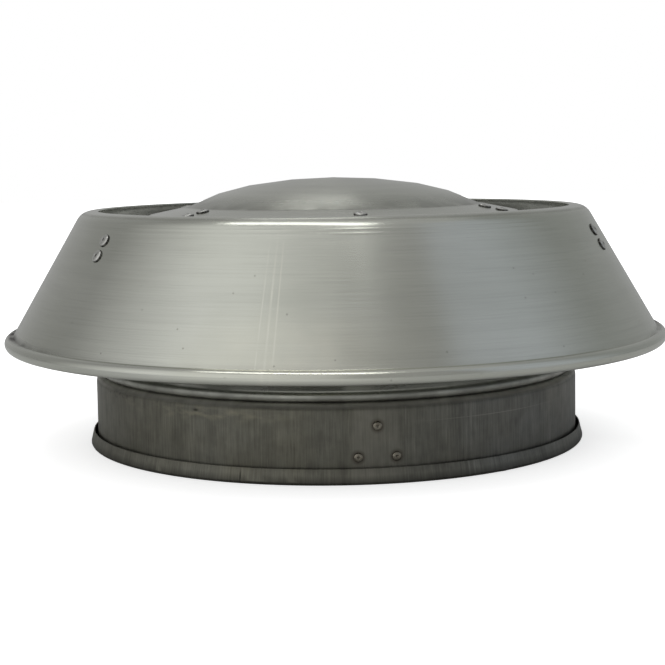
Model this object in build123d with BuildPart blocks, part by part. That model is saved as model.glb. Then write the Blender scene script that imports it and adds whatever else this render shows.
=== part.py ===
from build123d import *
from math import cos, radians, sin, sqrt, tan
import os

# Static chimney cowl in formed sheet metal, in millimetres, +Z up and the front towards -Y.
# The origin is the centre of the base collar's underside.

# Fits: between sheets that lie on each other, under a rivet's head and tail, round its shank,
# and how far a drill runs past the sheets
seat_gap = 0.1
rivet_gap = 0.05
hole_clearance = 0.1
drill_past = 1.0

# Base collar: dark sleeve over the chimney casing, with a shoulder turned in and a hem turned out
collar_radius = 183.2
collar_sheet = 1.0
collar_height = 53.6
collar_bend = 6.0
collar_lip = 9.2
hem_height = 10.4
hem_width = 5.3
hem_bend = 2.0
hem_lean = 14.0

# Flue spigot: tube with its lower end swaged in, so that it enters the flue as far as the step
spigot_radius = 126.0
spigot_sheet = 1.0
spigot_bottom = 2.0
spigot_stand = 2.0
spigot_entry_radius = 124.6
spigot_entry_top = 46.0
spigot_step_height = 3.0
spigot_step_bend = 2.0

# Weather ring: sheds the rain that falls past the cap, from the neck out over the collar
ring_sheet = 1.0
ring_rim_radius = 181.0
ring_bead = 4.0
ring_bead_turn = 250.0
ring_slope = 24.0
ring_neck_bend = 6.5
ring_neck_top = 104.0

# Skirt: conical wind band with a turned-in shoulder and a rolled rim
skirt_sheet = 1.2
skirt_top = 175.7
skirt_mouth_radius = 178.5
skirt_flange = 4.8
skirt_bend = 12.0
skirt_flare = 30.3
skirt_rim_radius = 250.0
skirt_bead = 5.0
skirt_crease = 1.0
skirt_crease_rise = 15.0
skirt_bead_turn = 300.0

# Dome cap: flat crown, rounder knuckle, and a sloping brim past a small concave foot
dome_sheet = 1.2
dome_top = 197.8
crown_radius = 390.0
crown_angle = 9.5
knuckle_radius = 156.0
foot_angle = 27.0
foot_fillet = 3.0
brim_slope = 11.0
brim_radius = 139.5

# Blind rivets: small ones in the collar and the spigot, large ones in the cap and the skirt,
# and the proportions that both sizes share
small_shank = 1.6
small_head = 3.2
small_head_height = 1.1
small_tail = 2.0
large_shank = 2.4
large_head = 4.75
large_head_height = 1.7
large_tail = 3.0
mandrel_of_shank = 0.5
tail_of_shank = 1.4
rim_of_head = 0.35
bulge_of_head = 0.35

# Collar brackets: curved foot in the collar, arm under its lip, toe up the spigot
bracket_count = 3
first_bracket_angle = -90.0
bracket_sheet = 1.2
bracket_span = 12.0
bracket_foot_bottom = 10.0
bracket_toe_bend = 3.0
bracket_toe_top = 74.0
bracket_upper_rivet = 38.3
bracket_lower_rivets = 17.6
bracket_rivet_spread = 4.0
toe_rivet_height = 65.0
toe_rivet_spread = 3.0

# Cap legs: straps from the ring's neck up to a tab under the brim
leg_sheet = 1.5
leg_width = 25.0
leg_foot_bottom = 89.0
leg_bend = 4.0
leg_tab_outer = 136.0
leg_tab_inner = 113.0
leg_tab_rivet_radius = 126.0
leg_foot_rivets = (92.6, 99.8)

# Skirt straps: from under the brim out to the inside of the skirt
strap_sheet = 1.5
strap_width = 22.0
strap_bend = 5.0
strap_tab_inner = 112.0
strap_tab_outer = 142.0
strap_corner_drop = 9.6
strap_end_margin = 9.0
strap_end_radius = 6.0
strap_cap_rivet_radii = (119.5, 132.5)
strap_skirt_rivet_drop = 16.8
strap_skirt_rivet_pitch = 12.0

# Places that follow from the sizes above
collar_inner = collar_radius - collar_sheet
collar_lip_underside = collar_height - collar_sheet
bracket_angles = [first_bracket_angle + 360 / bracket_count * i for i in range(bracket_count)]
strap_angles = [angle + 180 / bracket_count for angle in bracket_angles]
skirt_lean = radians(skirt_flare)
skirt_corner = skirt_mouth_radius + skirt_flange + skirt_bend * tan((radians(90) - skirt_lean) / 2)
brim_lean = radians(brim_slope)
dome_middle = crown_radius - dome_sheet / 2
knuckle_middle = knuckle_radius - dome_sheet / 2
foot_middle = foot_fillet + dome_sheet / 2
brim_start_radius = (
    dome_middle * sin(radians(crown_angle))
    + knuckle_middle * (sin(radians(foot_angle)) - sin(radians(crown_angle)))
    + foot_middle * (sin(radians(foot_angle)) - sin(brim_lean))
)
brim_start_height = (
    dome_top
    - dome_sheet / 2
    - dome_middle * (1 - cos(radians(crown_angle)))
    - knuckle_middle * (cos(radians(crown_angle)) - cos(radians(foot_angle)))
    - foot_middle * (cos(brim_lean) - cos(radians(foot_angle)))
)
neck_radius = spigot_radius + seat_gap + ring_sheet


def bow(width, radius):
    """Depth of a round wall behind a flat strip of this width."""
    return radius - sqrt(radius**2 - (width / 2) ** 2)


def brim_height(radius, depth):
    """Height of the line that lies this deep under the brim's mid-sheet."""
    return brim_start_height - (radius - brim_start_radius) * tan(brim_lean) - depth / cos(brim_lean)


def skirt_radius(height, depth=0.0):
    """Radius of the line that lies this deep inside the skirt's outer face."""
    return skirt_corner + (skirt_top - height) * tan(skirt_lean) - depth / cos(skirt_lean)


def radial_plane(angle):
    """Upright plane through the cowl's axis: its x runs outwards, its y runs up."""
    turn = radians(angle)
    return Plane(origin=(0, 0, 0), x_dir=(cos(turn), sin(turn), 0), z_dir=(sin(turn), -cos(turn), 0))


def rivet_seat(radius, height, angle, tilt=0.0):
    """Plane under a rivet's head, facing out of the sheet; tilt is how far it looks up."""
    turn = radians(angle)
    up = radians(tilt)
    outward = (cos(up) * cos(turn), cos(up) * sin(turn), sin(up))
    return Plane(origin=(radius * cos(turn), radius * sin(turn), height), z_dir=outward)


def blind_rivet(shank, head, head_height, grip, tail):
    """One set blind rivet, its seat at the origin: domed head with the mandrel's hole, and set tail."""
    mandrel = mandrel_of_shank * shank
    tail_radius = tail_of_shank * shank
    rim = rim_of_head * head_height
    bulge = bulge_of_head * head_height
    with BuildPart() as rivet:
        with BuildSketch(Plane.XZ):
            with BuildLine():
                Polyline(
                    (head, rivet_gap + rim),
                    (head, rivet_gap),
                    (shank, rivet_gap),
                    (shank, -grip - rivet_gap),
                    (tail_radius, -grip - rivet_gap),
                    (shank, -grip - tail),
                    (0, -grip - tail),
                    (0, rivet_gap + rim),
                    (mandrel, rivet_gap + head_height),
                )
                SagittaArc((mandrel, rivet_gap + head_height), (head, rivet_gap + rim), -bulge)
            make_face()
        revolve(axis=Axis.Z)
    return rivet.part


# Where the rivets sit
collar_rivet_seats = []
toe_rivet_seats = []
leg_foot_rivet_seats = []
leg_tab_rivet_seats = []
strap_cap_rivet_seats = []
strap_skirt_rivet_seats = []
toe_face = spigot_radius + seat_gap + bracket_sheet
leg_face = neck_radius + seat_gap + leg_sheet
brim_face_depth = -dome_sheet / 2
for angle in bracket_angles:
    collar_rivet_seats.append(rivet_seat(collar_radius, bracket_upper_rivet, angle))
    for side in (-1, 1):
        lower_angle = angle + side * bracket_rivet_spread
        collar_rivet_seats.append(rivet_seat(collar_radius, bracket_lower_rivets, lower_angle))
        toe_rivet_seats.append(rivet_seat(toe_face, toe_rivet_height, angle + side * toe_rivet_spread))
    for height in leg_foot_rivets:
        leg_foot_rivet_seats.append(rivet_seat(leg_face, height, angle))
    tab_height = brim_height(leg_tab_rivet_radius, brim_face_depth)
    leg_tab_rivet_seats.append(rivet_seat(leg_tab_rivet_radius, tab_height, angle, 90 - brim_slope))
for angle in strap_angles:
    for radius in strap_cap_rivet_radii:
        seat_height = brim_height(radius, brim_face_depth)
        strap_cap_rivet_seats.append(rivet_seat(radius, seat_height, angle, 90 - brim_slope))
    for i in range(2):
        seat_height = skirt_top - strap_skirt_rivet_drop - i * strap_skirt_rivet_pitch * cos(skirt_lean)
        seat = rivet_seat(skirt_radius(seat_height), seat_height, angle, skirt_flare)
        strap_skirt_rivet_seats.append(seat)

small_hole = small_shank + hole_clearance
large_hole = large_shank + hole_clearance

# How deep a flat tab lies under the round sheet that it is riveted to
strap_cap_gap = seat_gap + bow(strap_width, strap_tab_inner / sin(brim_lean))
leg_tab_gap = seat_gap + bow(leg_width, leg_tab_inner / sin(brim_lean))
strap_skirt_gap = seat_gap + bow(strap_width, skirt_corner / cos(skirt_lean))
collar_grip = collar_sheet + seat_gap + bracket_sheet
toe_grip = toe_face - spigot_radius + spigot_sheet
leg_foot_grip = leg_face - spigot_radius + spigot_sheet
leg_tab_grip = dome_sheet + leg_tab_gap + leg_sheet
strap_cap_grip = dome_sheet + strap_cap_gap + strap_sheet
strap_skirt_grip = skirt_sheet + strap_skirt_gap + strap_sheet
deepest_grip = max(collar_grip, toe_grip, leg_foot_grip, leg_tab_grip, strap_cap_grip, strap_skirt_grip)
drill_depth = deepest_grip + drill_past

# Base collar
hem_turn = hem_bend - collar_sheet / 2
wall_middle = collar_radius - collar_sheet / 2
hem_leg_middle = collar_radius + hem_width - collar_sheet / 2
with BuildPart() as base_collar:
    with BuildSketch(Plane.XZ):
        with BuildLine():
            lip = Line(
                (collar_radius - collar_bend - collar_lip, collar_height - collar_sheet / 2),
                (collar_radius - collar_bend, collar_height - collar_sheet / 2),
            )
            shoulder = JernArc(lip @ 1, lip % 1, collar_bend - collar_sheet / 2, -90)
            wall = Line(shoulder @ 1, (wall_middle, hem_bend))
            heel = JernArc(wall @ 1, wall % 1, hem_turn, 90)
            sole = Line(heel @ 1, (hem_leg_middle - hem_turn, collar_sheet / 2))
            toe = JernArc(sole @ 1, sole % 1, hem_turn, 90 + hem_lean)
            leg_rise = hem_height - (toe @ 1).Y
            PolarLine(toe @ 1, leg_rise / cos(radians(hem_lean)), direction=toe % 1)
        trace(line_width=collar_sheet)
    revolve(axis=Axis.Z)
    with Locations(*collar_rivet_seats):
        Hole(small_hole, depth=drill_depth)
base_collar.part.label = "base_collar"

# Flue spigot
spigot_middle = spigot_radius - spigot_sheet / 2
entry_middle = spigot_entry_radius - spigot_sheet / 2
with BuildPart() as flue_spigot:
    with BuildSketch(Plane.XZ):
        with BuildLine():
            FilletPolyline(
                (entry_middle, spigot_bottom),
                (entry_middle, spigot_entry_top),
                (spigot_middle, spigot_entry_top + spigot_step_height),
                (spigot_middle, ring_neck_top + spigot_stand),
                radius=spigot_step_bend,
            )
        trace(line_width=spigot_sheet)
    revolve(axis=Axis.Z)
    with Locations(*toe_rivet_seats, *leg_foot_rivet_seats):
        Hole(small_hole, depth=drill_depth)
flue_spigot.part.label = "flue_spigot"

# Weather ring
ring_lean = radians(ring_slope)
ring_bead_turn_radius = ring_bead - ring_sheet / 2
ring_bead_centre = ring_rim_radius - ring_bead
ring_edge_radius = ring_bead_centre + ring_bead_turn_radius * sin(ring_lean)
ring_edge_height = collar_height + seat_gap + ring_bead + ring_bead_turn_radius * cos(ring_lean)
neck_middle = neck_radius - ring_sheet / 2
neck_turn = ring_neck_bend - ring_sheet / 2
neck_foot_height = ring_edge_height + (ring_edge_radius - neck_middle) * tan(ring_lean)
neck_tangent = neck_turn * tan((radians(90) - ring_lean) / 2)
with BuildPart() as weather_ring:
    with BuildSketch(Plane.XZ):
        with BuildLine():
            neck = Line((neck_middle, ring_neck_top), (neck_middle, neck_foot_height + neck_tangent))
            neck_arc = JernArc(neck @ 1, neck % 1, neck_turn, 90 - ring_slope)
            slope = Line(neck_arc @ 1, (ring_edge_radius, ring_edge_height))
            JernArc(slope @ 1, slope % 1, ring_bead_turn_radius, -ring_bead_turn)
        trace(line_width=ring_sheet)
    revolve(axis=Axis.Z)
    with Locations(*leg_foot_rivet_seats):
        Hole(small_hole, depth=drill_depth)
weather_ring.part.label = "weather_ring"

# Skirt
skirt_turn = skirt_bend - skirt_sheet / 2
bead_turn_radius = skirt_bead - skirt_sheet / 2
crease_rise = radians(skirt_crease_rise)
shoulder_end_radius = skirt_mouth_radius + skirt_flange + skirt_turn * cos(skirt_lean)
crease_reach = skirt_crease * (cos(skirt_lean) + sin(crease_rise)) + bead_turn_radius * sin(crease_rise)
cone_reach = skirt_rim_radius - skirt_bead - crease_reach - shoulder_end_radius
with BuildPart() as skirt:
    with BuildSketch(Plane.XZ):
        with BuildLine():
            flange = Line(
                (skirt_mouth_radius, skirt_top - skirt_sheet / 2),
                (skirt_mouth_radius + skirt_flange, skirt_top - skirt_sheet / 2),
            )
            skirt_shoulder = JernArc(flange @ 1, flange % 1, skirt_turn, skirt_flare - 90)
            cone = PolarLine(skirt_shoulder @ 1, cone_reach / sin(skirt_lean), direction=skirt_shoulder % 1)
            crease = JernArc(cone @ 1, cone % 1, skirt_crease, 90 - skirt_flare + skirt_crease_rise)
            JernArc(crease @ 1, crease % 1, bead_turn_radius, -skirt_bead_turn)
        trace(line_width=skirt_sheet)
    revolve(axis=Axis.Z)
    with Locations(*strap_skirt_rivet_seats):
        Hole(large_hole, depth=drill_depth)
skirt.part.label = "skirt"

# Dome cap
with BuildPart() as dome_cap:
    with BuildSketch(Plane.XZ):
        with BuildLine():
            crown = JernArc((0, dome_top - dome_sheet / 2), (1, 0), dome_middle, -crown_angle)
            knuckle = JernArc(crown @ 1, crown % 1, knuckle_middle, crown_angle - foot_angle)
            foot = JernArc(knuckle @ 1, knuckle % 1, foot_middle, foot_angle - brim_slope)
            Line(foot @ 1, (brim_radius, brim_height(brim_radius, 0)))
        trace(line_width=dome_sheet)
    revolve(axis=Axis.Z)
    with Locations(*leg_tab_rivet_seats, *strap_cap_rivet_seats):
        Hole(large_hole, depth=drill_depth)
dome_cap.part.label = "dome_cap"

pieces = [base_collar.part, flue_spigot.part, weather_ring.part, skirt.part, dome_cap.part]

# Collar brackets
bracket_outer_bend = collar_bend - collar_sheet - seat_gap - bracket_sheet / 2
foot_middle_radius = collar_inner - seat_gap - bracket_sheet / 2
arm_height = collar_lip_underside - seat_gap - bracket_sheet / 2
toe_middle_radius = spigot_radius + seat_gap + bracket_sheet / 2
for number, angle in enumerate(bracket_angles, start=1):
    with BuildPart() as bracket:
        with BuildSketch(radial_plane(angle - bracket_span / 2)):
            with BuildLine():
                FilletPolyline(
                    (foot_middle_radius, bracket_foot_bottom),
                    (foot_middle_radius, arm_height),
                    (toe_middle_radius, arm_height),
                    (toe_middle_radius, bracket_toe_top),
                    radius=(bracket_outer_bend, bracket_toe_bend),
                )
            trace(line_width=bracket_sheet)
        revolve(axis=Axis.Z, revolution_arc=bracket_span)
        with Locations(*collar_rivet_seats, *toe_rivet_seats):
            Hole(small_hole, depth=drill_depth)
    bracket.part.label = f"collar_bracket_{number}"
    pieces.append(bracket.part)

# Cap legs
leg_middle_radius = neck_radius + seat_gap + leg_sheet / 2
leg_tab_depth = dome_sheet / 2 + leg_tab_gap + leg_sheet / 2
for number, angle in enumerate(bracket_angles, start=1):
    with BuildPart() as leg:
        with BuildSketch(radial_plane(angle)):
            with BuildLine():
                FilletPolyline(
                    (leg_middle_radius, leg_foot_bottom),
                    (leg_middle_radius, ring_neck_top + leg_bend),
                    (leg_tab_outer, brim_height(leg_tab_outer, leg_tab_depth)),
                    (leg_tab_inner, brim_height(leg_tab_inner, leg_tab_depth)),
                    radius=leg_bend,
                )
            trace(line_width=leg_sheet)
        extrude(amount=leg_width / 2, both=True)
        with Locations(*leg_foot_rivet_seats):
            Hole(small_hole, depth=drill_depth)
        with Locations(*leg_tab_rivet_seats):
            Hole(large_hole, depth=drill_depth)
    leg.part.label = f"cap_leg_{number}"
    pieces.append(leg.part)

# Skirt straps
strap_cap_depth = dome_sheet / 2 + strap_cap_gap + strap_sheet / 2
strap_skirt_depth = skirt_sheet + strap_skirt_gap + strap_sheet / 2
strap_corner_height = skirt_top - strap_corner_drop
strap_skirt_rivet_run = strap_skirt_rivet_drop + strap_skirt_rivet_pitch * cos(skirt_lean)
strap_end_height = skirt_top - strap_skirt_rivet_run - strap_end_margin
for number, angle in enumerate(strap_angles, start=1):
    with BuildPart() as strap:
        with BuildSketch(radial_plane(angle)):
            with BuildLine():
                FilletPolyline(
                    (strap_tab_inner, brim_height(strap_tab_inner, strap_cap_depth)),
                    (strap_tab_outer, brim_height(strap_tab_outer, strap_cap_depth)),
                    (skirt_radius(strap_corner_height, strap_skirt_depth), strap_corner_height),
                    (skirt_radius(strap_end_height, strap_skirt_depth), strap_end_height),
                    radius=strap_bend,
                )
            trace(line_width=strap_sheet)
        extrude(amount=strap_width / 2, both=True)
        end_corners = strap.edges().filter_by(lambda edge: abs(edge.length - strap_sheet) < strap_sheet / 100)
        fillet(end_corners, strap_end_radius)
        with Locations(*strap_cap_rivet_seats, *strap_skirt_rivet_seats):
            Hole(large_hole, depth=drill_depth)
    strap.part.label = f"skirt_strap_{number}"
    pieces.append(strap.part)

# Rivet groups: each group is one size and one grip
small_rivet = (small_shank, small_head, small_head_height)
large_rivet = (large_shank, large_head, large_head_height)
rivet_groups = {
    "collar_bracket_rivets": (small_rivet, collar_grip, small_tail, collar_rivet_seats),
    "spigot_bracket_rivets": (small_rivet, toe_grip, small_tail, toe_rivet_seats),
    "cap_leg_foot_rivets": (small_rivet, leg_foot_grip, small_tail, leg_foot_rivet_seats),
    "cap_leg_tab_rivets": (large_rivet, leg_tab_grip, large_tail, leg_tab_rivet_seats),
    "strap_cap_rivets": (large_rivet, strap_cap_grip, large_tail, strap_cap_rivet_seats),
    "strap_skirt_rivets": (large_rivet, strap_skirt_grip, large_tail, strap_skirt_rivet_seats),
}
for group_name, (size, grip, tail, seats) in rivet_groups.items():
    one_rivet = blind_rivet(*size, grip, tail)
    with BuildPart() as group:
        with Locations(*seats):
            add(one_rivet)
    group.part.label = group_name
    pieces.append(group.part)

os.makedirs("parts", exist_ok=True)
for piece in pieces:
    export_step(piece, f"parts/{piece.label}.step")
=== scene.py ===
from math import atan2, cos, degrees, exp, hypot, pi, radians, sin, tan

import bpy
from mathutils import Matrix, Vector, noise


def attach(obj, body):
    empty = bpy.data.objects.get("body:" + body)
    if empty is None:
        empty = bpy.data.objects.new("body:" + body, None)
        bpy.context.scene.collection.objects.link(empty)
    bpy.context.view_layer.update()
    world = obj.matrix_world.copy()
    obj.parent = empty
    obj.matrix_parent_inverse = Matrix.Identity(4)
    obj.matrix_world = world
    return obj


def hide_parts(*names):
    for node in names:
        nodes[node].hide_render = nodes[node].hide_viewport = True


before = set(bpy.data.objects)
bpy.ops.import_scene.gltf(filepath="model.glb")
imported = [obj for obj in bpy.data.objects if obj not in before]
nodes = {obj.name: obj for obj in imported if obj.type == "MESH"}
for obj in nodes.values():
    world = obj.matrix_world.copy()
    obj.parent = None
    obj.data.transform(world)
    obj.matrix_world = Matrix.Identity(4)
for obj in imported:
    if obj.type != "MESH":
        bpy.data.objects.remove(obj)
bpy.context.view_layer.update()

# Base collar
# A band of galvanised sheet that goes over the chimney casing, weathered to a streaky dark grey.
# Its top is turned in over a round shoulder to a lip, and its foot is folded out and up into an open hem.
mm = 0.001
run_step = 4.0
bend_step = 7.0
edge_steps = 4
lathe_steps = 288
collar_radius = 183.2
collar_degree = 3.2
collar_sheet = 1.0
collar_height = 53.6
collar_bend = 6.0
collar_lip = 9.2
hem_bend = 2.0
hem_width = 5.3
hem_height = 10.4
hem_lean = 14
hem_wave = 0.35
hem_seam_bearing = -28.4
burr_bearing = 29.0
bracket_spacing = 120.0
bracket_rivet_high = 38.3
bracket_rivet_low = 17.6
bracket_rivet_swing = 4.0


def form_sheet(start, heading, moves, sheet):
    """Section of a formed sheet, in millimetres of radius and height: its mid-line leaves start by moves.
    A move of one number is a run, and of two is a bend: radius and angle, to the left if positive.
    The outline follows the left face, rounds the cut edge and comes back along the right face."""
    r, z = start
    turn = radians(heading)
    middle = [(r, z, turn)]
    for move in moves:
        if len(move) == 1:
            steps = max(1, round(move[0] / run_step))
            step_length, step_turn = move[0] / steps, 0.0
        else:
            steps = max(2, round(abs(move[1]) / bend_step))
            step_turn = radians(move[1]) / steps
            step_length = 2 * move[0] * sin(abs(step_turn) / 2)
        for _ in range(steps):
            turn += step_turn / 2
            r += step_length * cos(turn)
            z += step_length * sin(turn)
            turn += step_turn / 2
            middle.append((r, z, turn))
    half = sheet / 2
    left = [(r - half * sin(t), z + half * cos(t)) for r, z, t in middle]
    right = [(r + half * sin(t), z - half * cos(t)) for r, z, t in middle]
    edges = []
    for (r, z, t), first in ((middle[-1], pi / 2), (middle[0], -pi / 2)):
        angles = [t + first - pi * step / edge_steps for step in range(1, edge_steps)]
        edges.append([(r + half * cos(angle), z + half * sin(angle)) for angle in angles])
    if start[0] == 0:
        return left + edges[0] + right[::-1]
    return left + edges[0] + right[::-1] + edges[1]


def turn_on_lathe(outline, steps, sway=None):
    """Points, in metres, and faces of an outline turned round the upright axis; the axis is one point."""
    closed = outline[0][0] > 0
    points, index, faces = [], {}, []
    for step in range(steps):
        angle = 2 * pi * step / steps
        for i, (r, z) in enumerate(outline):
            if r <= 0 and step > 0:
                index[step, i] = index[0, i]
                continue
            if sway:
                r, z = sway(r, z, angle)
            index[step, i] = len(points)
            points.append((r * cos(angle) * mm, r * sin(angle) * mm, z * mm))
    for step in range(steps):
        after = (step + 1) % steps
        for i in range(len(outline) if closed else len(outline) - 1):
            j = (i + 1) % len(outline)
            corners = (index[step, i], index[step, j], index[after, j], index[after, i])
            faces.append(tuple(dict.fromkeys(corners)))
    return points, faces


def make_piece(name, shapes, material, dirt_and_shade=None):
    """One smooth mesh of several shapes, each with its seat; dirt_and_shade gives a point's darkening from
    dirt and painted shade, 0 to 1.
    """
    points, faces, dirt = [], [], []
    for shape_points, shape_faces, seat in shapes:
        first = len(points)
        points.extend(seat @ Vector(point) for point in shape_points)
        faces.extend([first + corner for corner in face] for face in shape_faces)
        dirt.extend(dirt_and_shade(*point) if dirt_and_shade else 0.0 for point in shape_points)
    mesh = bpy.data.meshes.new(name)
    mesh.from_pydata(points, [], faces)
    mesh.shade_smooth()
    mesh.attributes.new("dirt_and_shade", "FLOAT", "POINT").data.foreach_set("value", dirt)
    mesh.materials.append(material)
    piece = bpy.data.objects.new(name, mesh)
    bpy.context.scene.collection.objects.link(piece)
    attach(piece, "root")
    return piece


def put(tree, kind, sockets=None, **settings):
    """Adds a shader node, sets its properties, and feeds its inputs with values or other nodes' outputs."""
    node = tree.nodes.new("ShaderNode" + kind)
    for key, value in settings.items():
        setattr(node, key, value)
    for key, value in (sockets or {}).items():
        if isinstance(value, bpy.types.NodeSocket):
            tree.links.new(value, node.inputs[key])
        else:
            node.inputs[key].default_value = value
    return node


def math(tree, operation, *values):
    """Result of a math node."""
    return put(tree, "Math", dict(enumerate(values)), operation=operation).outputs[0]


def ramp(tree, value, *stops):
    """Colour ramp through (position, colour) stops; a number stands for a grey."""
    node = put(tree, "ValToRGB", {"Fac": value})
    elements = node.color_ramp.elements
    while len(elements) < len(stops):
        elements.new(1.0)
    for element, (position, colour) in zip(elements, stops):
        shade = (colour,) * 3 if isinstance(colour, (int, float)) else colour
        element.position = position
        element.color = (*shade, 1.0)
    return node.outputs["Color"]


def mix(tree, blend, amount, below, above):
    """Two colours mixed in one of the usual blends."""
    colours = {0: amount, 6: below, 7: above}
    return put(tree, "Mix", colours, data_type="RGBA", blend_type=blend).outputs[2]


def new_group(name, inputs, outputs):
    """An empty shader group with named number sockets, and its two end nodes' sockets."""
    group = bpy.data.node_groups.new(name, "ShaderNodeTree")
    for socket in inputs:
        group.interface.new_socket(name=socket, in_out="INPUT", socket_type="NodeSocketFloat")
    for socket in outputs:
        group.interface.new_socket(name=socket, in_out="OUTPUT", socket_type="NodeSocketFloat")
    entry = group.nodes.new("NodeGroupInput")
    way_out = group.nodes.new("NodeGroupOutput")
    return group, entry.outputs, way_out.inputs


def new_material(name):
    """A material, its node tree and its Principled shader."""
    material = bpy.data.materials.new(name)
    material.use_nodes = True
    return material, material.node_tree, material.node_tree.nodes["Principled BSDF"]


# Place on the cowl: bearing in degrees from the front, to the right, and radius and height in millimetres
place_group, _, place_out = new_group("place_on_cowl", [], ["Bearing", "Radius", "Height"])
object_place = put(place_group, "TexCoord").outputs["Object"]
axes = put(place_group, "SeparateXYZ", {0: object_place}).outputs
bearing = math(place_group, "ARCTAN2", axes["X"], math(place_group, "MULTIPLY", axes["Y"], -1.0))
reach = math(place_group, "POWER", axes["X"], 2.0)
reach = math(place_group, "ADD", reach, math(place_group, "POWER", axes["Y"], 2.0))
place_group.links.new(math(place_group, "DEGREES", bearing), place_out["Bearing"])
reach = math(place_group, "MULTIPLY", math(place_group, "SQRT", reach), 1000.0)
place_group.links.new(reach, place_out["Radius"])
place_group.links.new(math(place_group, "MULTIPLY", axes["Z"], 1000.0), place_out["Height"])

# Sheet grain: noise stretched round the cowl or down its sheets, in cells per radian and per metre
grain_group, grain_in, grain_out = new_group("sheet_grain", ["Around", "Along"], ["Grain"])
object_place = put(grain_group, "TexCoord").outputs["Object"]
axes = put(grain_group, "SeparateXYZ", {0: object_place}).outputs
flat = put(grain_group, "CombineXYZ", {0: axes["X"], 1: axes["Y"]}).outputs[0]
outward = put(grain_group, "VectorMath", {0: flat}, operation="NORMALIZE").outputs["Vector"]
around = put(grain_group, "VectorMath", {0: outward, "Scale": grain_in["Around"]}, operation="SCALE")
reach = put(grain_group, "VectorMath", {0: flat}, operation="LENGTH").outputs["Value"]
down_sheet = math(grain_group, "SUBTRACT", reach, axes["Z"])
along = put(grain_group, "CombineXYZ", {2: math(grain_group, "MULTIPLY", down_sheet, grain_in["Along"])})
spot = put(grain_group, "VectorMath", {0: around.outputs["Vector"], 1: along.outputs[0]}, operation="ADD")
grain_noise = put(grain_group, "TexNoise", {"Vector": spot.outputs["Vector"], "Scale": 1.0, "Detail": 3.0})
grain_group.links.new(grain_noise.outputs["Fac"], grain_out["Grain"])

# Mark: 1 where a value is at the centre, fading to 0 at the width on both sides
mark_group, mark_in, mark_out = new_group("mark", ["Value", "Centre", "Width"], ["Mask"])
off = math(mark_group, "ABSOLUTE", math(mark_group, "SUBTRACT", mark_in["Value"], mark_in["Centre"]))
fade = put(
    mark_group,
    "MapRange",
    {"Value": off, "From Min": 0.0, "From Max": mark_in["Width"], "To Min": 1.0, "To Max": 0.0},
    interpolation_type="SMOOTHSTEP",
)
mark_group.links.new(fade.outputs["Result"], mark_out["Mask"])


def place(tree):
    """Outputs of the place group in a material."""
    return put(tree, "Group", node_tree=place_group).outputs


def grain(tree, around, along):
    """Grain stretched as these two numbers say."""
    return put(tree, "Group", {"Around": around, "Along": along}, node_tree=grain_group).outputs["Grain"]


def mark(tree, value, centre, width):
    """Mask of a mark across a value."""
    sockets = {"Value": value, "Centre": centre, "Width": width}
    return put(tree, "Group", sockets, node_tree=mark_group).outputs["Mask"]


def marks(tree, value, *places):
    """Mask of several marks across a value, each given by its centre and width."""
    mask = 0.0
    for centre, width in places:
        mask = math(tree, "MAXIMUM", mask, mark(tree, value, centre, width))
    return mask


def patch(tree, where, bearing, breadth, height, depth):
    """Mask of a patch round one bearing and height of the cowl."""
    sideways = mark(tree, where["Bearing"], bearing, breadth)
    return math(tree, "MULTIPLY", sideways, mark(tree, where["Height"], height, depth))


def spread(tree, value, low, high, first=0.0, last=1.0):
    """A value from low to high, laid out between first and last."""
    sockets = {"Value": value, "From Min": low, "From Max": high, "To Min": first, "To Max": last}
    return put(tree, "MapRange", sockets).outputs["Result"]


def cloud(tree, scale, detail=4.0):
    """Plain noise through the object, in cells per metre."""
    spot = put(tree, "TexCoord").outputs["Object"]
    return put(tree, "TexNoise", {"Vector": spot, "Scale": scale, "Detail": detail}).outputs["Fac"]


def relief(tree, shader, height, depth):
    """Bump of that depth in millimetres on the shader."""
    bump = put(tree, "Bump", {"Strength": 1.0, "Distance": depth * mm, "Height": height})
    tree.links.new(bump.outputs["Normal"], shader.inputs["Normal"])


dark_sheet, tree, shader = new_material("dark_galvanised_sheet")
on_collar = place(tree)
fine = grain(tree, 170, 48)
broad = grain(tree, 20, 5)
stains = cloud(tree, 22)
blots = cloud(tree, 110)
dark, middle, pale = (0.19, 0.188, 0.157), (0.23, 0.228, 0.192), (0.28, 0.277, 0.232)
colour = ramp(tree, fine, (0.3, dark), (0.5, middle), (0.75, pale))
colour = mix(tree, "MULTIPLY", 0.9, colour, ramp(tree, broad, (0.3, 0.8), (0.7, 1.0)))
colour = mix(tree, "MULTIPLY", 0.75, colour, ramp(tree, stains, (0.35, (0.7, 0.68, 0.62)), (0.68, 1.0)))
colour = mix(tree, "MULTIPLY", 0.35, colour, ramp(tree, blots, (0.36, 0.6), (0.6, 1.0)))
# The right side has kept a colder grey
right_side = spread(tree, on_collar["Bearing"], 2.0, 30.0)
colour = mix(tree, "MULTIPLY", right_side, colour, (1.0, 1.02, 1.13, 1.0))
# Yellowed rub marks under the shoulder on the left, and dark nicks beside them
rubbed = ramp(tree, grain(tree, 16, 210), (0.45, 0.0), (0.7, 0.6))
rubbed = math(tree, "MULTIPLY", rubbed, patch(tree, on_collar, -40, 30, 45, 7))
colour = mix(tree, "MIX", rubbed, colour, (0.38, 0.36, 0.26, 1.0))
nicked = ramp(tree, grain(tree, 30, 240), (0.5, 0.0), (0.6, 0.8))
nicked = math(tree, "MULTIPLY", nicked, patch(tree, on_collar, -66, 11, 49, 5))
nicked = math(tree, "MAXIMUM", nicked, patch(tree, on_collar, -39.4, 1.1, 46.5, 1.5))
colour = mix(tree, "MIX", nicked, colour, (0.05, 0.048, 0.04, 1.0))
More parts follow.
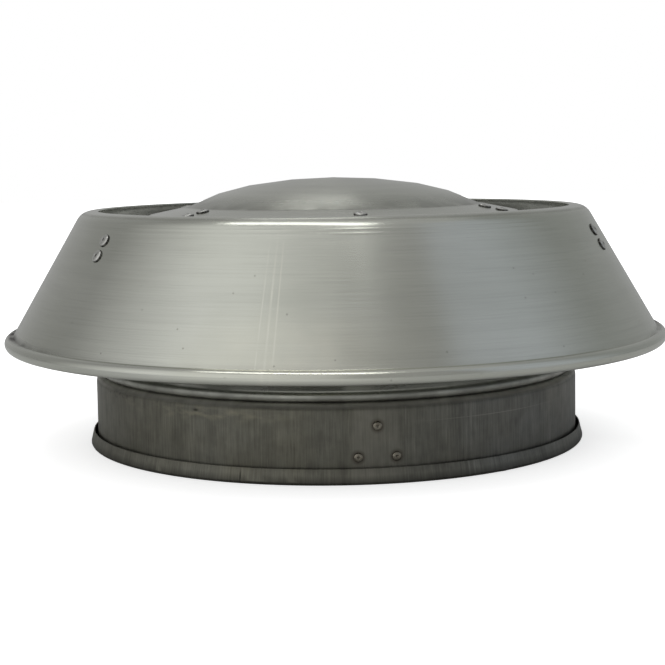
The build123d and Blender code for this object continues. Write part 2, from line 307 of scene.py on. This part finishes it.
# Painted highlight along the shoulder, partly wear rubbed bright by handling
shoulder_sheen_and_wear = ramp(tree, broad, (0.3, 0.7), (0.7, 1.0))
shoulder_sheen_and_wear = math(tree, "MULTIPLY", shoulder_sheen_and_wear, mark(tree, on_collar["Height"], 52.4, 3.2))
colour = mix(tree, "MIX", shoulder_sheen_and_wear, colour, (0.7, 0.69, 0.63, 1.0))
# The front bracket shows through as a paler patch with a faint edge
backed = ramp(tree, mark(tree, on_collar["Bearing"], 0.0, 7.5), (0.1, 0.0), (0.35, 1.0))
backed = math(tree, "MULTIPLY", backed, ramp(tree, broad, (0.3, 0.1), (0.7, 0.3)))
colour = mix(tree, "MIX", backed, colour, (0.32, 0.31, 0.27, 1.0))
# Pale scores down the wall and a scribed line round it
scores = marks(tree, on_collar["Bearing"], (19.8, 0.3), (21, 0.35), (6.0, 0.25))
scores = math(tree, "MULTIPLY", scores, ramp(tree, grain(tree, 60, 60), (0.35, 0.0), (0.6, 0.3)))
scribe = math(tree, "MULTIPLY", patch(tree, on_collar, 28, 24, 40, 0.5), 0.4)
colour = mix(tree, "MIX", math(tree, "MAXIMUM", scores, scribe), colour, (0.4, 0.39, 0.35, 1.0))
# Brown stains round the rivets of the three brackets, in millimetres from each rivet along the wall
off_bracket = math(tree, "PINGPONG", on_collar["Bearing"], bracket_spacing / 2)
stained = ((0.0, bracket_rivet_high), (bracket_rivet_swing, bracket_rivet_low))
for stain_bearing, stain_height in stained:
    across = math(tree, "SUBTRACT", off_bracket, stain_bearing)
    across = math(tree, "MULTIPLY", across, collar_degree)
    up = math(tree, "SUBTRACT", on_collar["Height"], stain_height)
    gap = math(tree, "ADD", math(tree, "POWER", across, 2.0), math(tree, "POWER", up, 2.0))
    stain = math(tree, "MULTIPLY", mark(tree, math(tree, "SQRT", gap), 2.5, 3.6), 0.7)
    colour = mix(tree, "MIX", stain, colour, (0.075, 0.06, 0.043, 1.0))
# Seam of the band, closed in the hem
seam = patch(tree, on_collar, hem_seam_bearing, 0.3, 4, 8)
# Painted shade in the hem's open fold and along its sole, from the collar's dirt_and_shade values
dirt_and_shade = put(tree, "Attribute", attribute_name="dirt_and_shade").outputs["Fac"]
colour = mix(tree, "MIX", math(tree, "MAXIMUM", dirt_and_shade, seam), colour, (0.02, 0.019, 0.017, 1.0))
tree.links.new(colour, shader.inputs["Base Color"])
tree.links.new(spread(tree, stains, 0.3, 0.7, 0.4, 0.55), shader.inputs["Roughness"])
relief(tree, shader, math(tree, "ADD", fine, math(tree, "MULTIPLY", stains, 2.0)), 0.1)
shader.inputs["Metallic"].default_value = 0.8

hem_turn = hem_bend - collar_sheet / 2
collar_section = form_sheet(
    (collar_radius - collar_bend - collar_lip, collar_height - collar_sheet / 2),
    0,
    [
        (collar_lip,),
        (collar_bend - collar_sheet / 2, -90),
        (collar_height - collar_bend - hem_bend,),
        (hem_turn, 90),
        (hem_width - 2 * hem_turn,),
        (hem_turn, 90 + hem_lean),
        (hem_height - hem_bend,),
    ],
    collar_sheet,
)


def hem_sway(r, z, angle):
    """Moves the hem's free leg in and out a little, as it was folded by hand, and raises one burr."""
    free = min(max((r - collar_radius - hem_bend) / 2, 0), 1) * min(max((z - hem_bend) / 4, 0), 1)
    spot = Vector((5 * cos(angle), 5 * sin(angle), 0))
    wave = noise.noise(spot) + 0.5 * noise.noise(3 * spot)
    bearing = degrees(angle) + 90 if angle < 1.5 * pi else degrees(angle) - 270
    burr = exp(-(((bearing - burr_bearing) / 0.5) ** 2)) if r > collar_radius + 4 and z < hem_bend else 0
    return r + hem_wave * wave * free + 0.7 * burr, z + hem_wave * wave * free


def hem_shade(x, y, z):
    """Painted shade in the hem's open fold, and less of it along the sole."""
    r = hypot(x, y) / mm
    leg_face = collar_radius + hem_width - max(0, z / mm - hem_bend) * tan(radians(hem_lean))
    if collar_radius - 0.1 < r < leg_face - 0.7 and 0.6 < z / mm < hem_height - 1:
        return 0.9
    return 0.5 if r > collar_radius + 1 and z / mm < hem_bend + 0.5 else 0.0


collar_shape = turn_on_lathe(collar_section, lathe_steps, hem_sway)
collar = make_piece("collar_sheet", [(*collar_shape, Matrix())], dark_sheet, hem_shade)
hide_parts("base_collar")

# Flue spigot
# A tube of rolled aluminium sheet inside the collar, swaged at its lower end to enter the flue.
# It carries everything above, and soot from the flue has dulled its inside.
spigot_sheet = 1.0
spigot_entry_middle = 124.1
spigot_bottom = 2.0
spigot_entry_wall = 43.556
spigot_swage = 25.017
spigot_swage_bend = 2.0
spigot_swage_run = 2.423
spigot_wall = 56.556
spigot_steps = 192

mill_aluminium, tree, shader = new_material("rolled_aluminium_sheet")
rolled = grain(tree, 90, 12)
dulled = cloud(tree, 30)
colour = ramp(tree, rolled, (0.3, (0.44, 0.445, 0.42)), (0.7, (0.6, 0.605, 0.58)))
colour = mix(tree, "MULTIPLY", 0.7, colour, ramp(tree, dulled, (0.35, (0.66, 0.64, 0.6)), (0.62, 1.0)))
tree.links.new(colour, shader.inputs["Base Color"])
tree.links.new(spread(tree, dulled, 0.3, 0.7, 0.52, 0.38), shader.inputs["Roughness"])
relief(tree, shader, rolled, 0.06)
shader.inputs["Metallic"].default_value = 1.0

spigot_section = form_sheet(
    (spigot_entry_middle, spigot_bottom),
    90,
    [
        (spigot_entry_wall,),
        (spigot_swage_bend, -spigot_swage),
        (spigot_swage_run,),
        (spigot_swage_bend, spigot_swage),
        (spigot_wall,),
    ],
    spigot_sheet,
)
spigot_shape = turn_on_lathe(spigot_section, spigot_steps)
spigot = make_piece("spigot_tube", [(*spigot_shape, Matrix())], mill_aluminium)
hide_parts("flue_spigot")

# Collar brackets
# Three strips of galvanised steel with a spangled coat, folded between collar and spigot.
# Each foot follows the collar's wall, and each toe lies up the spigot.
strip_edge = 0.25
galvanised, tree, shader = new_material("galvanised_strip")
spot = put(tree, "TexCoord").outputs["Object"]
spangle = put(tree, "TexVoronoi", {"Vector": spot, "Scale": 160.0}, feature="F1")
spangle_tone = put(tree, "RGBToBW", {0: spangle.outputs["Color"]}).outputs[0]
colour = ramp(tree, spangle_tone, (0.2, (0.3, 0.31, 0.315)), (0.8, (0.46, 0.47, 0.475)))
dirt = ramp(tree, cloud(tree, 40), (0.35, (0.6, 0.57, 0.52)), (0.6, 1.0))
colour = mix(tree, "MULTIPLY", 0.8, colour, dirt)
tree.links.new(colour, shader.inputs["Base Color"])
tree.links.new(spread(tree, spangle_tone, 0.0, 1.0, 0.38, 0.55), shader.inputs["Roughness"])
relief(tree, shader, spangle_tone, 0.04)
shader.inputs["Metallic"].default_value = 0.9


def finish_strip(node_name, material):
    """Gives a strip of the frame its material and slightly rounded edges."""
    strip = nodes[node_name]
    strip.data.materials.clear()
    strip.data.materials.append(material)
    edge = strip.modifiers.new("rounded_edge", "BEVEL")
    edge.width = strip_edge * mm
    edge.segments = 2
    edge.limit_method = "ANGLE"
    edge.angle_limit = radians(50)


for number in (1, 2, 3):
    finish_strip(f"collar_bracket_{number}", galvanised)

# Weather ring
# A cone of spun aluminium from the spigot's neck out to a rolled bead that sits just over the collar.
# It sheds the rain that falls past the cap, and only its bead shows under the skirt.
ring_sheet = 1.0
ring_neck_middle = 126.6
ring_neck_top = 104.0
ring_neck_turn = 6.0
ring_slope = 24
ring_bead = 4.0
ring_bead_turn = 250
ring_rim = 181.0
ring_seat = 0.1
# Bearing and width of the front, where the bead catches the light and gets less painted shade
ring_lit_bearing = -12
ring_lit_width = 16

spun_aluminium, tree, shader = new_material("spun_aluminium")
on_cowl = place(tree)
lines = grain(tree, 4.0, 1100)
bands = grain(tree, 0.9, 90)
weather = cloud(tree, 9)
colour = ramp(tree, weather, (0.35, (0.595, 0.608, 0.54)), (0.65, (0.655, 0.668, 0.605)))
colour = mix(tree, "MULTIPLY", 0.5, colour, ramp(tree, lines, (0.32, 0.88), (0.55, 1.0)))
colour = mix(tree, "MULTIPLY", 0.3, colour, ramp(tree, bands, (0.35, 0.88), (0.6, 1.0)))
# A warm stain low on the front, and pale runs that rain has left beside it
warm = ramp(tree, cloud(tree, 14), (0.35, 0.2), (0.65, 0.7))
warm = math(tree, "MULTIPLY", warm, patch(tree, on_cowl, -15, 25, 92, 34))
colour = mix(tree, "MIX", warm, colour, (0.82, 0.8, 0.68, 1.0))
runs = marks(tree, on_cowl["Bearing"], (-17.6, 0.22), (-18.8, 0.3), (-20.2, 0.15))
runs = math(tree, "MULTIPLY", runs, mark(tree, on_cowl["Height"], 115, 62))
runs = math(tree, "MULTIPLY", runs, ramp(tree, grain(tree, 30, 40), (0.3, 0.05), (0.65, 0.55)))
colour = mix(tree, "MIX", runs, colour, (0.83, 0.82, 0.72, 1.0))
spot = put(tree, "TexCoord").outputs["Object"]
specks = put(tree, "TexVoronoi", {"Vector": spot, "Scale": 70.0}, feature="F1")
specks = ramp(tree, specks.outputs["Distance"], (0.03, 0.45), (0.06, 0.0))
colour = mix(tree, "MIX", specks, colour, (0.2, 0.19, 0.16, 1.0))
# Painted shade from each piece's dirt_and_shade values: inside the skirt and in its crease, in the dome's
# hollow and over the ring
dirt_and_shade = put(tree, "Attribute", attribute_name="dirt_and_shade").outputs["Fac"]
dirt_and_shade = math(tree, "MULTIPLY", dirt_and_shade, ramp(tree, cloud(tree, 60), (0.3, 0.45), (0.6, 1.0)))
colour = mix(tree, "MIX", dirt_and_shade, colour, (0.045, 0.04, 0.034, 1.0))
tree.links.new(colour, shader.inputs["Base Color"])
rough = math(tree, "MULTIPLY_ADD", lines, 0.06, math(tree, "MULTIPLY_ADD", weather, 0.06, 0.16))
rough = math(tree, "MULTIPLY_ADD", runs, 0.1, math(tree, "MULTIPLY_ADD", dirt_and_shade, 0.3, rough))
tree.links.new(rough, shader.inputs["Roughness"])
turned_way = put(tree, "Tangent", direction_type="RADIAL", axis="Z").outputs[0]
tree.links.new(turned_way, shader.inputs["Tangent"])
shader.inputs["Anisotropic"].default_value = 0.6
shader.inputs["Anisotropic Rotation"].default_value = 0.25
# The spinning roller left fine lines all over, and two ridges under the skirt's shoulder
ridges = marks(tree, on_cowl["Height"], (168.0, 1.0), (165.2, 1.2))
turned = math(tree, "ADD", lines, math(tree, "MULTIPLY", bands, 3.0))
relief(tree, shader, math(tree, "MULTIPLY_ADD", ridges, 7.0, turned), 0.006)
shader.inputs["Metallic"].default_value = 1.0

ring_bead_middle = ring_bead - ring_sheet / 2
ring_edge_radius = ring_rim - ring_bead + ring_bead_middle * sin(radians(ring_slope))
ring_edge_height = collar_height + ring_seat + ring_bead + ring_bead_middle * cos(radians(ring_slope))
ring_foot_height = ring_edge_height + (ring_edge_radius - ring_neck_middle) * tan(radians(ring_slope))
ring_neck_tangent = ring_neck_turn * tan(radians(90 - ring_slope) / 2)
ring_slant = (ring_edge_radius - ring_neck_middle) / cos(radians(ring_slope)) - ring_neck_tangent
ring_section = form_sheet(
    (ring_neck_middle, ring_neck_top),
    -90,
    [
        (ring_neck_top - ring_foot_height - ring_neck_tangent,),
        (ring_neck_turn, 90 - ring_slope),
        (ring_slant,),
        (ring_bead_middle, -ring_bead_turn),
    ],
    ring_sheet,
)


def ring_shade(x, y, z):
    """Painted shade over the ring, darkest under the bead where it meets the collar, and less near the
    front, where the bead catches the light.
    """
    bearing = degrees(atan2(x, -y))
    front_lit = exp(-(((bearing - ring_lit_bearing) / ring_lit_width) ** 2))
    if z / mm < collar_height + 1.5:
        return 0.75
    return 0.55 - 0.1 * front_lit if z / mm < collar_height + 5.2 else 0.5 - 0.5 * front_lit


ring_shape = turn_on_lathe(ring_section, lathe_steps)
ring = make_piece("ring_sheet", [(*ring_shape, Matrix())], spun_aluminium, ring_shade)
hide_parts("weather_ring")

# Cap legs
# Three straps cut from aluminium sheet that carry the cap over the flue's mouth.
# Each is riveted to the ring's neck at its foot, and bent in at the top under the brim.
for number in (1, 2, 3):
    finish_strip(f"cap_leg_{number}", mill_aluminium)

# Dome cap
# The spun rain cap: a flat crown, a rounder knuckle, and past a small hollow the sloping brim.
# It is weathered like the skirt, with painted shade in the hollow.
dome_sheet = 1.2
dome_top = 197.8
crown_radius = 390.0
crown_angle = 9.5
knuckle_radius = 156.0
foot_angle = 27
foot_fillet = 3.0
brim_slope = 11
brim_radius = 139.5
half_dome = dome_sheet / 2
foot_radius = (
    (crown_radius - half_dome) * sin(radians(crown_angle))
    + (knuckle_radius - half_dome) * (sin(radians(foot_angle)) - sin(radians(crown_angle)))
    + (foot_fillet + half_dome) * (sin(radians(foot_angle)) - sin(radians(brim_slope)))
)
dome_section = form_sheet(
    (0, dome_top - half_dome),
    0,
    [
        (crown_radius - half_dome, -crown_angle),
        (knuckle_radius - half_dome, crown_angle - foot_angle),
        (foot_fillet + half_dome, foot_angle - brim_slope),
        ((brim_radius - foot_radius) / cos(radians(brim_slope)),),
    ],
    dome_sheet,
)


def dome_hollow_shade(x, y, z):
    """Painted shade in the hollow between knuckle and brim."""
    return 0.55 * max(0, 1 - abs(hypot(x, y) / mm - foot_radius) / 3)


dome_shape = turn_on_lathe(dome_section, lathe_steps)
dome = make_piece("dome_sheet", [(*dome_shape, Matrix())], spun_aluminium, dome_hollow_shade)
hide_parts("dome_cap")

# Skirt
# The spun wind band: a short flange round the mouth, a round shoulder and a straight cone.
# The rim is turned out at a tight crease and rolled down into a bead; shade is painted in the crease, most
# at the sides, and a little on the inside.
skirt_sheet = 1.2
skirt_top = 175.7
skirt_mouth = 178.5
skirt_flange = 4.8
skirt_bend = 12.0
skirt_flare = 30.3
skirt_rim = 250.0
skirt_bead = 5.0
skirt_crease = 1.0
crease_rise = 15
crease_height = 85.1
skirt_bead_turn = 300
skirt_corner = skirt_mouth + skirt_flange + skirt_bend * tan(radians(90 - skirt_flare) / 2)
skirt_turn = skirt_bend - skirt_sheet / 2
bead_middle = skirt_bead - skirt_sheet / 2
cone_start = skirt_mouth + skirt_flange + skirt_turn * cos(radians(skirt_flare))
cone_end = skirt_rim - skirt_bead - bead_middle * sin(radians(crease_rise))
cone_end -= skirt_crease * (cos(radians(skirt_flare)) + sin(radians(crease_rise)))
skirt_section = form_sheet(
    (skirt_mouth, skirt_top - skirt_sheet / 2),
    0,
    [
        (skirt_flange,),
        (skirt_turn, skirt_flare - 90),
        ((cone_end - cone_start) / sin(radians(skirt_flare)),),
        (skirt_crease, 90 - skirt_flare + crease_rise),
        (bead_middle, -skirt_bead_turn),
    ],
    skirt_sheet,
)


def skirt_sway(r, z, angle):
    """The cone runs out of true by a few hundredths, so that reflections waver a little."""
    spot = Vector((2.2 * cos(angle), 2.2 * sin(angle), z / 45))
    return r + 0.05 * noise.noise(spot), z


def skirt_shade(x, y, z):
    """Painted shade on the inside, and in the crease over the bead, less of it at the front, where the
    crease catches the light.
    """
    r = hypot(x, y) / mm
    cone_face = skirt_corner + (skirt_top - z / mm) * tan(radians(skirt_flare))
    if crease_height + 4 < z / mm < skirt_top - 1 and r < cone_face - 1:
        return 0.25
    off = hypot(r - cone_end - 1.0, z / mm - crease_height)
    front_lit = max(0, min(1, (-y / hypot(x, y) - 0.1) / 0.5))
    return max(0, min(1, 1.7 * (1 - off / (4.4 - 1.4 * front_lit)))) * (1 - 0.9 * front_lit)


skirt_shape = turn_on_lathe(skirt_section, lathe_steps, skirt_sway)
skirt = make_piece("skirt_sheet", [(*skirt_shape, Matrix())], spun_aluminium, skirt_shade)
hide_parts("skirt")

# Skirt straps
# Three straps of aluminium sheet with rounded ends, which carry the skirt from the cap.
# Each runs from under the brim out to the inside of the skirt, and is bent to lie flat on both.
for number in (1, 2, 3):
    finish_strip(f"skirt_strap_{number}", mill_aluminium)

# Rivets
# Blind rivets in two sizes: a low domed head with the dent of the broken mandrel, and a set tail behind.
# Dirt and painted shade darken the rims of the heads, painted shade darkens the dents, and those in the
# collar have gone brown.
small_rivet = (1.6, 3.2, 1.1, 2.0)
large_rivet = (2.4, 4.75, 1.7, 3.0)
rivet_gap = 0.05
rivet_steps = 40
bracket_angles = (-90, 30, 150)
strap_angles = (-30, 90, 210)
bracket_grip = 2.3
toe_radius = 127.3
toe_height = 65
toe_swing = 3
leg_radius = 128.7
leg_heights = (92.6, 99.8)
leg_grip = 3.7
tab_radius = 126
tab_grip = 2.93
cap_radii = (119.5, 132.5)
cap_grip = 2.9
skirt_rivet_drop = 16.8
skirt_rivet_pitch = 12
skirt_grip = 3.07
foot_height = (
    dome_top
    - half_dome
    - (crown_radius - half_dome) * (1 - cos(radians(crown_angle)))
    - (knuckle_radius - half_dome) * (cos(radians(crown_angle)) - cos(radians(foot_angle)))
    - (foot_fillet + half_dome) * (cos(radians(brim_slope)) - cos(radians(foot_angle)))
)


def new_rivet_material(name, pale, dark, stain):
    """Satin rivet metal between two tones, with a darker tone where dirt and painted shade lie."""
    material, tree, shader = new_material(name)
    tone = cloud(tree, 420)
    colour = ramp(tree, tone, (0.35, dark), (0.65, pale))
    # Dirt and painted shade round each head's rim, and painted shade in its dent
    dirt_and_shade = put(tree, "Attribute", attribute_name="dirt_and_shade").outputs["Fac"]
    dirt_and_shade = math(tree, "MULTIPLY", dirt_and_shade, ramp(tree, cloud(tree, 700), (0.3, 0.6), (0.6, 1.0)))
    tree.links.new(mix(tree, "MIX", dirt_and_shade, colour, (*stain, 1.0)), shader.inputs["Base Color"])
    rough = math(tree, "MULTIPLY_ADD", tone, 0.2, 0.14)
    tree.links.new(math(tree, "MULTIPLY_ADD", dirt_and_shade, 0.3, rough), shader.inputs["Roughness"])
    relief(tree, shader, tone, 0.05)
    shader.inputs["Metallic"].default_value = 0.95
    return material


bright = ((0.72, 0.72, 0.69), (0.48, 0.48, 0.45), (0.025, 0.023, 0.02))
brown = ((0.31, 0.29, 0.24), (0.21, 0.19, 0.15), (0.06, 0.05, 0.036))
bright_rivet = new_rivet_material("rivet_aluminium", *bright)
brown_rivet = new_rivet_material("rivet_aluminium_stained", *brown)


def rivet_seat(radius, height, angle, tilt=0.0):
    """Place of a rivet whose head looks outwards at that angle, and up by the tilt."""
    turn = Matrix.Rotation(radians(angle), 4, "Z") @ Matrix.Rotation(radians(90 - tilt), 4, "Y")
    point = Vector((radius * cos(radians(angle)), radius * sin(radians(angle)), height)) * mm
    return Matrix.Translation(point) @ turn


def rivet_outline(size, grip):
    """Section of a set rivet from the dent in its head round to the end of its tail.
    The size gives the radius of shank and head, the head's rise and the tail's length."""
    shank, head, rise, tail = size
    outline = [(0, rivet_gap + 0.45 * rise), (0.35 * shank, rivet_gap + 0.5 * rise)]
    outline.append((0.5 * shank, rivet_gap + 0.9 * rise))
    for step in range(9):
        part = step / 8
        r = 0.6 * shank + (head - 0.6 * shank) * sin(part * pi / 2)
        z = rivet_gap + 0.12 * rise + 0.88 * rise * cos(part * pi / 2)
        outline.append((r, z))
    outline += [(head, rivet_gap), (shank, rivet_gap), (shank, -grip - rivet_gap)]
    outline += [(1.4 * shank, -grip - 0.3 * tail), (shank, -grip - tail), (0, -grip - tail)]
    return outline


def set_rivets(name, size, grip, seats, material, dent=0.85):
    """All rivets of one group as one piece, with that much painted shade in their dents."""
    shank, _, rise, _ = size
    points, faces = turn_on_lathe(rivet_outline(size, grip)[::-1], rivet_steps)

    def dirt(x, y, z):
        """Dirt and painted shade round the head's rim, and painted shade in its dent."""
        r = hypot(x, y) / mm
        if z / mm < rivet_gap + 0.55 * rise and r > shank:
            return 1.0
        return dent if r < 0.55 * shank else 0.0

    faces = [face[::-1] for face in faces]
    rivets = make_piece(name + "_set", [(points, faces, seat) for seat in seats], material, dirt)
    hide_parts(name)


def on_brim(radius, angle):
    """Seat of a rivet on the brim's upper face."""
    height = foot_height - (radius - foot_radius) * tan(radians(brim_slope))
    return rivet_seat(radius, height + half_dome / cos(radians(brim_slope)), angle, 90 - brim_slope)


def on_skirt(drop, angle):
    """Seat of a rivet on the cone, that far below the skirt's top."""
    radius = skirt_corner + drop * tan(radians(skirt_flare))
    return rivet_seat(radius, skirt_top - drop, angle, skirt_flare)


collar_seats = [rivet_seat(collar_radius, bracket_rivet_high, angle) for angle in bracket_angles]
low_angles = [angle + side * bracket_rivet_swing for angle in bracket_angles for side in (-1, 1)]
collar_seats += [rivet_seat(collar_radius, bracket_rivet_low, angle) for angle in low_angles]
set_rivets("collar_bracket_rivets", small_rivet, bracket_grip, collar_seats, brown_rivet, 0.4)
toe_angles = [angle + side * toe_swing for angle in bracket_angles for side in (-1, 1)]
toe_seats = [rivet_seat(toe_radius, toe_height, angle) for angle in toe_angles]
set_rivets("spigot_bracket_rivets", small_rivet, bracket_grip, toe_seats, bright_rivet)
leg_seats = [rivet_seat(leg_radius, height, angle) for angle in bracket_angles for height in leg_heights]
set_rivets("cap_leg_foot_rivets", small_rivet, leg_grip, leg_seats, bright_rivet)
tab_seats = [on_brim(tab_radius, angle) for angle in bracket_angles]
set_rivets("cap_leg_tab_rivets", large_rivet, tab_grip, tab_seats, bright_rivet)
cap_seats = [on_brim(radius, angle) for angle in strap_angles for radius in cap_radii]
set_rivets("strap_cap_rivets", large_rivet, cap_grip, cap_seats, bright_rivet)
skirt_drops = (skirt_rivet_drop, skirt_rivet_drop + skirt_rivet_pitch * cos(radians(skirt_flare)))
skirt_seats = [on_skirt(drop, angle) for angle in strap_angles for drop in skirt_drops]
set_rivets("strap_skirt_rivets", large_rivet, skirt_grip, skirt_seats, bright_rivet)

# Studio
# A floor in a grey room, with a pale wall at the front left and a dim bluish window on the right.
# A softbox hangs over the wall and a small strip behind, and the floor by the wall throws light back.
# To the camera the floor is dark inside the collar and fades to plain white away from it.
floor_reach = 6.0
white_reach = 400.0
light_distance = 2.0
light_aim = 0.12
wall_top = 54
ceiling_edge = 62
ceiling_grey = 0.44
# Tones of the walls by bearing
room_tones = (
    (-180, 0.4),
    (-122, 0.3),
    (-78, 0.8),
    (-46, 0.86),
    (-10, 0.58),
    (-2, 0.38),
    (39, 0.32),
    (46, (0.44, 0.46, 0.5)),
    (78, (0.45, 0.475, 0.515)),
    (106, (0.29, 0.3, 0.3)),
    (180, 0.4),
)

floor_paint, tree, shader = new_material("pale_floor")
speckle = ramp(tree, cloud(tree, 300), (0.3, 0.72), (0.7, 0.77))
tree.links.new(speckle, shader.inputs["Base Color"])
shader.inputs["Roughness"].default_value = 0.9
shader.inputs["Specular IOR Level"].default_value = 0.1
seen = put(tree, "LightPath").outputs["Is Camera Ray"]
on_floor = place(tree)
near = math(tree, "DIVIDE", on_floor["Radius"], white_reach)
white = math(tree, "MULTIPLY", ramp(tree, near, (0.43, 0.0), (0.47, 0.58), (1.0, 1.0)), 1.2)
lit = math(tree, "MULTIPLY", mark(tree, on_floor["Bearing"], -28, 48), 0.28)
lit = math(tree, "MULTIPLY", lit, spread(tree, on_floor["Radius"], 260.0, 420.0))
glow = put(tree, "Mix", {0: seen, 2: lit, 3: white}, data_type="FLOAT").outputs[0]
tree.links.new(glow, shader.inputs["Emission Strength"])
shader.inputs["Emission Color"].default_value = (1.0, 1.0, 1.0, 1.0)
floor_mesh = bpy.data.meshes.new("floor")
corners = [(x * floor_reach, y * floor_reach, 0) for x, y in ((-1, -1), (1, -1), (1, 1), (-1, 1))]
floor_mesh.from_pydata(corners, [], [(0, 1, 2, 3)])
floor_mesh.materials.append(floor_paint)
floor = bpy.data.objects.new("floor", floor_mesh)
bpy.context.scene.collection.objects.link(floor)


def hang_light(name, bearing, elevation, width, depth, power, colour):
    """A rectangular light in that direction, turned towards the cowl."""
    light = bpy.data.lights.new(name, "AREA")
    light.shape = "RECTANGLE"
    light.size = width
    light.size_y = depth
    light.energy = power
    light.color = colour
    lamp = bpy.data.objects.new(name, light)
    bpy.context.scene.collection.objects.link(lamp)
    level = cos(radians(elevation))
    way = Vector((level * sin(radians(bearing)), -level * cos(radians(bearing)), sin(radians(elevation))))
    lamp.location = light_distance * way
    lamp.rotation_euler = (Vector((0, 0, light_aim)) - lamp.location).to_track_quat("-Z", "Y").to_euler()


hang_light(
    "softbox", bearing=-40, elevation=75.5, width=1.5, depth=0.34, power=4.8, colour=(1.0, 1.0, 0.98)
)
hang_light(
    "back_strip", bearing=178, elevation=57, width=0.55, depth=0.3, power=0.75, colour=(1.0, 1.0, 1.0)
)

world = bpy.data.worlds.new("studio")
world.use_nodes = True
bpy.context.scene.world = world
tree = world.node_tree
ground = tree.nodes["Background"]
seen = put(tree, "LightPath").outputs["Is Camera Ray"]
way = put(tree, "SeparateXYZ", {0: put(tree, "TexCoord").outputs["Generated"]}).outputs
bearing = math(tree, "ARCTAN2", way["X"], math(tree, "MULTIPLY", way["Y"], -1.0))
turn = math(tree, "MULTIPLY_ADD", bearing, 1 / (2 * pi), 0.5)
walls = ramp(tree, turn, *[((degree + 180) / 360, tone) for degree, tone in room_tones])
overhead = spread(tree, way["Z"], sin(radians(wall_top)), sin(radians(ceiling_edge)))
room = mix(tree, "MIX", overhead, walls, (ceiling_grey, ceiling_grey, ceiling_grey, 1.0))
tree.links.new(mix(tree, "MIX", seen, room, (1.0, 1.0, 1.0, 1.0)), ground.inputs["Color"])

# Camera
# At the photograph's place: in front and a little to the left, just over the cap, with a long lens.
# It is turned to the cowl, tipped down a little and rolled by less than a degree.
camera_place = (-0.166122, -1.131223, 0.216543)
camera_turn = -8.241
camera_tip = 6.887
camera_roll = -0.848
camera_lens = 80.703
camera_data = bpy.data.cameras.new("camera")
camera_data.sensor_width = 36
camera_data.lens = camera_lens
camera_data.dof.use_dof = False
camera = bpy.data.objects.new("camera", camera_data)
bpy.context.scene.collection.objects.link(camera)
looks = Matrix.Rotation(radians(camera_turn), 4, "Z") @ Matrix.Rotation(radians(90 - camera_tip), 4, "X")
looks = looks @ Matrix.Rotation(radians(camera_roll), 4, "Z")
camera.matrix_world = Matrix.Translation(camera_place) @ looks
bpy.context.scene.camera = camera
bpy.context.scene.view_settings.view_transform = "Standard"
